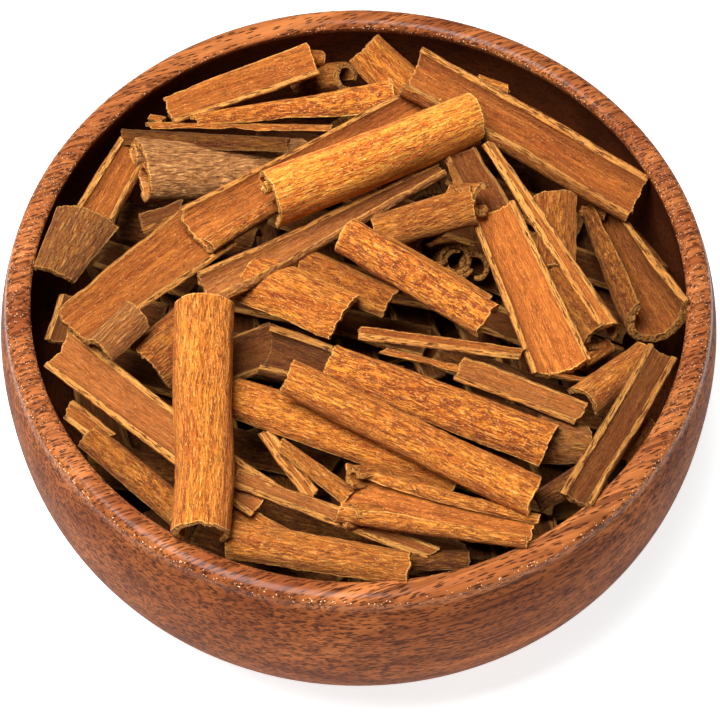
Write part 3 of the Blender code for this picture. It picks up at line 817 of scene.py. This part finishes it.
def core_profile():
    """What fills the bowl under the buried sticks."""
    top = RIM_EDGE - CORE_DEPTH
    profile = [(0.0, BOWL_HEIGHT - inner_depth(0.0) + CORE_GAP)]
    for step in range(1, CORE_SIDE_STEPS + 1):
        radius = INNER_WIDEST_RADIUS * math.sin(math.pi / 2 * step / CORE_SIDE_STEPS)
        height = BOWL_HEIGHT - inner_depth(radius)
        if height < top - CORE_EDGE_DROP:
            profile.append((radius - CORE_GAP, height + CORE_GAP))
    edge = profile[-1][0]
    for step in range(CORE_TOP_STEPS):
        radius = edge * (1 - step / CORE_TOP_STEPS) - CORE_EDGE_INSET
        profile.append((radius, top + crown(radius, 0, CORE_CROWN)))
    profile.append((0.0, top + CORE_CROWN))
    return profile


# ---- materials


def linear(red, green, blue):
    """A colour from its 0 to 255 screen values."""
    return tuple(
        value / 12.92 if value <= 0.04045 else ((value + 0.055) / 1.055) ** 2.4
        for value in (red / 255, green / 255, blue / 255)
    ) + (1,)


class Nodes:
    """Short ways to add nodes to a material."""

    def __init__(self, name):
        self.material = bpy.data.materials.new(name)
        self.material.use_nodes = True
        self.tree = self.material.node_tree
        self.shader = self.tree.nodes["Principled BSDF"]

    def node(self, kind, inputs, **settings):
        """A new node. Its inputs are values or other nodes' outputs."""
        made = self.tree.nodes.new(kind)
        for name, value in settings.items():
            setattr(made, name, value)
        for name, value in inputs.items():
            self.feed(made.inputs[name], value)
        return made

    def feed(self, socket, value):
        if isinstance(value, bpy.types.NodeSocket):
            self.tree.links.new(value, socket)
        else:
            socket.default_value = value

    def surface(self, name, value):
        self.feed(self.shader.inputs[name], value)

    def math(self, operation, *values):
        return self.node("ShaderNodeMath", dict(enumerate(values)), operation=operation).outputs[0]

    def attribute(self, name, output="Vector"):
        return self.node("ShaderNodeAttribute", {}, attribute_name=name).outputs[output]

    def split(self, vector):
        return self.node("ShaderNodeSeparateXYZ", {0: vector}).outputs

    def joined(self, x, y, z):
        return self.node("ShaderNodeCombineXYZ", {0: x, 1: y, 2: z}).outputs[0]

    def scaled(self, vector, scale):
        inputs = {0: vector, 1: scale}
        return self.node("ShaderNodeVectorMath", inputs, operation="MULTIPLY").outputs[0]

    def noise(self, vector, scale, detail, roughness, distortion=0.0):
        inputs = {"Vector": self.scaled(vector, scale), "Scale": 1.0, "Detail": detail}
        inputs.update(Roughness=roughness, Distortion=distortion)
        return self.node("ShaderNodeTexNoise", inputs).outputs["Fac"]

    def dots(self, vector, scale, core, edge):
        """1 up to the core distance from scattered points, down to 0 at the edge distance."""
        made = self.node("ShaderNodeTexVoronoi", {"Vector": vector, "Scale": scale})
        return self.span(made.outputs["Distance"], core, edge, 1.0, 0.0)

    def span(self, value, low, high, to_low=0.0, to_high=1.0):
        """What runs from to_low to to_high as the value runs from low to high."""
        inputs = {"Value": value, "From Min": low, "From Max": high, "To Min": to_low, "To Max": to_high}
        return self.node("ShaderNodeMapRange", inputs, clamp=True).outputs["Result"]

    def near(self, value, middle, core, edge):
        """1 up to the core distance from the middle, down to 0 at the edge distance."""
        away = self.math("ABSOLUTE", self.math("SUBTRACT", value, middle))
        return self.span(away, core, edge, 1.0, 0.0)

    def mix(self, share, first, second, blend="MIX"):
        made = self.node("ShaderNodeMix", {"Factor": share}, data_type="RGBA", blend_type=blend)
        colours = [socket for socket in made.inputs if socket.type == "RGBA"]
        self.feed(colours[0], first)
        self.feed(colours[1], second)
        return [socket for socket in made.outputs if socket.type == "RGBA"][0]

    def over(self, base, share, strength, colour):
        """The base with a colour laid over it, as far as the share and the strength say."""
        return self.mix(self.math("MULTIPLY", share, strength), base, linear(*colour))

    def between(self, share, first, second):
        return self.mix(share, linear(*first), linear(*second))

    def place(self):
        return self.node("ShaderNodeTexCoord", {}).outputs["Object"]

    def bump(self, height, distance, strength):
        inputs = {"Height": height, "Distance": distance, "Strength": strength}
        self.surface("Normal", self.node("ShaderNodeBump", inputs).outputs["Normal"])


def bark_material():
    n = Nodes("cinnamon_bark_detail")
    grain = n.attribute("grain")
    bright, grey, patches = n.split(n.attribute("look"))
    depth = n.split(grain)[2]
    side = n.attribute("side", "Fac")
    is_inner = n.math("COMPARE", side, INNER_SKIN, 0.3)
    is_cut = n.math("GREATER_THAN", side, INNER_SKIN + 0.5)

    # The patterns, each as fine as its waves per millimetre along, around and through the bark.
    streaks = n.noise(grain, (0.035, 0.50, 0.3), 5.0, 0.62, 0.3)
    wrinkles = n.noise(grain, (0.34, 1.85, 1.0), 5.0, 0.64, 0.8)
    fibres = n.noise(grain, (0.22, 2.2, 1.0), 3.0, 0.6)
    mottle = n.noise(grain, (0.32, 0.66, 0.5), 6.0, 0.72)
    specks = n.noise(grain, (1.5, 2.6, 2.0), 2.0, 0.5)
    pits = n.noise(grain, (0.9, 2.2, 1.6), 3.0, 0.6)
    winding = n.noise(grain, (0.12, 0.70, 0.8), 3.0, 0.6, 0.8)
    splits = n.noise(grain, (0.26, 1.4, 1.7), 4.0, 0.62)
    veins = n.near(winding, 0.5, 0.0, 0.03)
    # Painted shade in the wrinkles' creases and a painted highlight on their crests.
    crease_shade = n.span(wrinkles, 0.34, 0.49, 1.0, 0.0)
    crest_highlight = n.span(wrinkles, 0.54, 0.66)

    # The outer skin: golden brown and finely wrinkled along the stick, with dark veins and
    # patches, painted shade in the creases and a painted highlight on the crests, or dull where
    # the cork is still on.
    outer = n.between(n.span(streaks, 0.34, 0.66), (180, 86, 22), (242, 150, 48))
    outer = n.over(outer, n.span(fibres, 0.50, 0.68), 0.5, (126, 60, 20))
    outer = n.over(outer, crease_shade, 0.68, (128, 50, 18))
    outer = n.over(outer, veins, 0.75, (96, 40, 14))
    dark = n.math("MULTIPLY", n.span(mottle, 0.49, 0.54), patches)
    outer = n.over(outer, dark, 0.85, (118, 44, 18))
    outer = n.over(outer, n.span(pits, 0.60, 0.66), 0.6, (102, 36, 15))
    outer = n.over(outer, n.span(specks, 0.61, 0.67), 0.6, (252, 186, 112))
    outer = n.over(outer, crest_highlight, 0.55, (254, 178, 88))
    dull = n.between(n.span(mottle, 0.38, 0.62), (122, 76, 42), (200, 140, 82))
    # The dull skin has painted shade in its creases and a painted highlight on its crests too.
    dull = n.over(dull, crease_shade, 0.85, (74, 40, 20))
    dull = n.over(dull, crest_highlight, 0.7, (240, 184, 118))
    outer = n.mix(grey, outer, dull)

    # The inner skin: smoother, with fine lines and small pale specks, and a little painted shade
    # in the creases.
    inner = n.between(n.span(streaks, 0.32, 0.68), (166, 82, 26), (214, 124, 46))
    inner = n.over(inner, n.span(fibres, 0.48, 0.66), 0.6, (116, 54, 16))
    inner = n.over(inner, crease_shade, 0.25, (116, 52, 16))
    inner = n.over(inner, n.span(mottle, 0.50, 0.62), 0.5, (116, 52, 16))
    inner = n.over(inner, n.span(specks, 0.60, 0.68), 0.5, (248, 178, 96))
    inner = n.mix(n.math("MULTIPLY", grey, 0.55), inner, dull)

    # Where it is split or sawn: paler wood under a dark skin, with dark pits.
    cut = n.between(n.span(streaks, 0.3, 0.7), (212, 130, 52), (250, 180, 92))
    cut = n.over(cut, n.span(depth, 0.10, 0.50, 1.0, 0.0), 0.7, (124, 60, 22))
    cut = n.over(cut, n.span(splits, 0.52, 0.58), 0.9, (98, 42, 14))

    colour = n.mix(is_inner, outer, inner)
    near_edge = n.span(n.attribute("edge", "Fac"), 0.45, 0.8)
    worn = n.math("MULTIPLY", near_edge, n.span(wrinkles, 0.38, 0.5))
    colour = n.over(colour, worn, 0.8, (250, 180, 90))
    colour = n.mix(is_cut, colour, cut)
    # Dark pieces are dark on their skins, and less so where they are cut.
    cut_bright = n.math("ADD", n.math("MULTIPLY", bright, 0.45), 0.50)
    change = n.math("MULTIPLY", is_cut, n.math("SUBTRACT", cut_bright, bright))
    bright = n.math("ADD", change, bright)
    tone = n.node("ShaderNodeCombineColor", {0: bright, 1: bright, 2: bright}).outputs[0]
    colour = n.mix(1.0, colour, tone, "MULTIPLY")
    colour.node.clamp_result = True
    n.surface("Base Color", colour)

    # The skins are wrinkled, the inner one less, and the crests are a little less rough.
    height = n.math("MULTIPLY", wrinkles, n.span(is_inner, 0.0, 1.0, 1.0, 0.4))
    height = n.math("ADD", height, n.math("MULTIPLY", mottle, 0.35))
    height = n.math("SUBTRACT", height, n.math("MULTIPLY", fibres, 0.25))
    height = n.math("ADD", height, n.math("MULTIPLY", specks, 0.25))
    height = n.math("SUBTRACT", height, n.math("MULTIPLY", veins, 0.10))
    n.bump(height, 1.4 * MM, 1.0)
    n.surface("Roughness", n.span(wrinkles, 0.3, 0.7, 0.75, 0.55))
    n.surface("Specular IOR Level", 0.22)
    return n.material


def core_material():
    n = Nodes("bark_core_detail")
    # Near-black brown all over: painted shade, the darkness seen deep between the sticks.
    core_mottle = n.span(n.noise(n.place(), (300, 300, 300), 4.0, 0.6), 0.3, 0.7)
    n.surface("Base Color", n.between(core_mottle, (26, 12, 5), (60, 30, 13)))
    n.surface("Roughness", 0.9)
    return n.material


def bowl_material():
    """Dark oiled hardwood, with stripes straight through the bowl and pores round its wall."""
    n = Nodes("bowl_wood_detail")
    place = n.scaled(n.place(), (1 / MM, 1 / MM, 1 / MM))
    x, y, height = n.split(place)
    radius = n.math("SQRT", n.math("ADD", n.math("MULTIPLY", x, x), n.math("MULTIPLY", y, y)))
    on_rim = n.span(height, BOWL_HEIGHT - WALL_LOOK_DEPTH, BOWL_HEIGHT - RIM_LOOK_DEPTH)

    inputs = {"Vector": place, "Angle": math.radians(-WOOD_GRAIN_HEADING)}
    along = n.node("ShaderNodeVectorRotate", inputs, rotation_type="Z_AXIS").outputs[0]
    bands = n.span(n.noise(along, (0.004, 0.08, 0.08), 3.0, 0.5), 0.32, 0.68)
    figure = n.noise(along, (0.020, 0.50, 0.50), 4.0, 0.6, 0.4)
    lines = n.noise(along, (0.010, 1.00, 1.00), 2.0, 0.55)

    turn = n.math("ARCTAN2", x, n.math("MULTIPLY", y, -1.0))
    round_wall = n.joined(n.math("MULTIPLY", turn, OUTER_WIDEST_RADIUS), height, radius)
    wall_pores = n.dots(n.scaled(round_wall, (0.45, 1.6, 1.6)), 1.0, 0.26, 0.40)
    rim_pores = n.dots(n.scaled(along, (0.26, 1.55, 1.55)), 1.0, 0.25, 0.38)
    pores = n.mix(on_rim, wall_pores, rim_pores)

    # The inside is darker: painted shade on the inner wall under the rim. It is what lies nearer
    # the axis than any of the wall's outside.
    # The wall's wood is darker than the rim's: painted shade on the wall, which faces down.
    shaded_wall_wood = n.between(bands, (118, 60, 28), (172, 98, 50))
    shaded_inside_wood = n.between(bands, (62, 29, 13), (100, 50, 23))
    rim_wood = n.between(bands, (132, 68, 34), (184, 110, 58))
    within = n.span(radius, INNER_WIDEST_RADIUS + 0.1, INNER_WIDEST_RADIUS + 0.7, 1.0, 0.0)
    inside = n.math("MULTIPLY", within, n.span(height, 20.0, 25.0))
    wood = n.mix(on_rim, n.mix(inside, shaded_wall_wood, shaded_inside_wood), rim_wood)
    wood = n.over(wood, n.span(figure, 0.44, 0.62), 0.65, (92, 46, 24))
    wood = n.over(wood, n.span(lines, 0.52, 0.62), 0.75, (76, 36, 20))
    wood = n.over(wood, pores, 0.85, (50, 24, 16))

    # Pale dots in the pores along both edges of the rim, and all over it at the sides: partly pale
    # filler, partly painted glints.
    inner_line = n.near(radius, RIM_INNER_LINE, 0.2, 0.7)
    outer_line = n.near(radius, RIM_OUTER_LINE, 0.2, 0.9)
    end_grain = n.span(n.math("ABSOLUTE", x), 55.0, 84.0, 0.0, 0.40)
    filler_and_glint_lines = n.math("MAXIMUM", n.math("MAXIMUM", inner_line, outer_line), end_grain)
    filler_and_glint_dots = n.math("MULTIPLY", n.math("MULTIPLY", n.dots(place, 1.25, 0.15, 0.24), filler_and_glint_lines), on_rim)
    wood = n.over(wood, filler_and_glint_dots, 0.9, (252, 214, 176))

    n.surface("Base Color", wood)
    n.surface("Roughness", n.span(on_rim, 0.0, 1.0, 0.60, 0.34))
    n.surface("Coat Weight", n.math("MULTIPLY", on_rim, 0.12))
    n.surface("Coat Roughness", 0.20)
    n.surface("Specular IOR Level", 0.03)
    n.bump(n.math("SUBTRACT", 1.0, pores), 0.15 * MM, 0.6)
    return n.material


# ---- stage, light and camera


def make_floor():
    n = Nodes("floor")
    n.surface("Base Color", (0.8, 0.8, 0.8, 1))
    n.surface("Roughness", 0.9)
    n.surface("Specular IOR Level", 0.0)
    n.surface("Emission Color", (0.95, 0.99, 1, 1))
    n.surface("Emission Strength", FLOOR_GLOW)
    data = bpy.data.meshes.new("floor")
    corners = [(x * FLOOR_HALF, y * FLOOR_HALF, 0) for x, y in ((-1, -1), (1, -1), (1, 1), (-1, 1))]
    data.from_pydata(corners, [], [(0, 1, 2, 3)])
    data.materials.append(n.material)
    add_object("floor", data)


def make_lights():
    world = bpy.data.worlds.new("studio")
    world.use_nodes = True
    background = world.node_tree.nodes["Background"]
    background.inputs["Color"].default_value = (1, 1, 1, 1)
    background.inputs["Strength"].default_value = AMBIENT
    bpy.context.scene.world = world
    bpy.context.scene.view_settings.view_transform = "Standard"
    data = bpy.data.lights.new("key", "AREA")
    data.shape = "SQUARE"
    data.size = KEY_SIZE
    data.energy = KEY_POWER
    lamp = add_object("key", data)
    lamp.location = KEY_PLACE
    aim = Vector(KEY_AIM) - Vector(KEY_PLACE)
    lamp.rotation_euler = aim.to_track_quat("-Z", "Y").to_euler()


def make_camera():
    data = bpy.data.cameras.new("camera")
    data.lens = CAMERA_LENS
    camera = add_object("camera", data)
    rise = math.radians(CAMERA_ELEVATION)
    back, up = CAMERA_DISTANCE * math.cos(rise), CAMERA_DISTANCE * math.sin(rise)
    camera.location = (0, -back * MM, (RIM_EDGE + up) * MM)
    camera.rotation_euler = (math.radians(90 - CAMERA_AIM), 0, -math.radians(CAMERA_YAW))
    bpy.context.scene.camera = camera


def main():
    make_camera()
    make_lights()
    make_floor()
    bark = bark_material()
    bowl = turned("turned_bowl", bowl_profile(), BOWL_SEGMENTS, bowl_material())
    heap = visible_bark(bark)
    heap.append(buried_bark(bark))
    heap.append(turned("bark_core", core_profile(), CORE_SEGMENTS, core_material()))
    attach(bowl, "root")
    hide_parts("bowl")
    for piece in heap:
        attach(piece, "root")
        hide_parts("cinnamon_heap")


main()
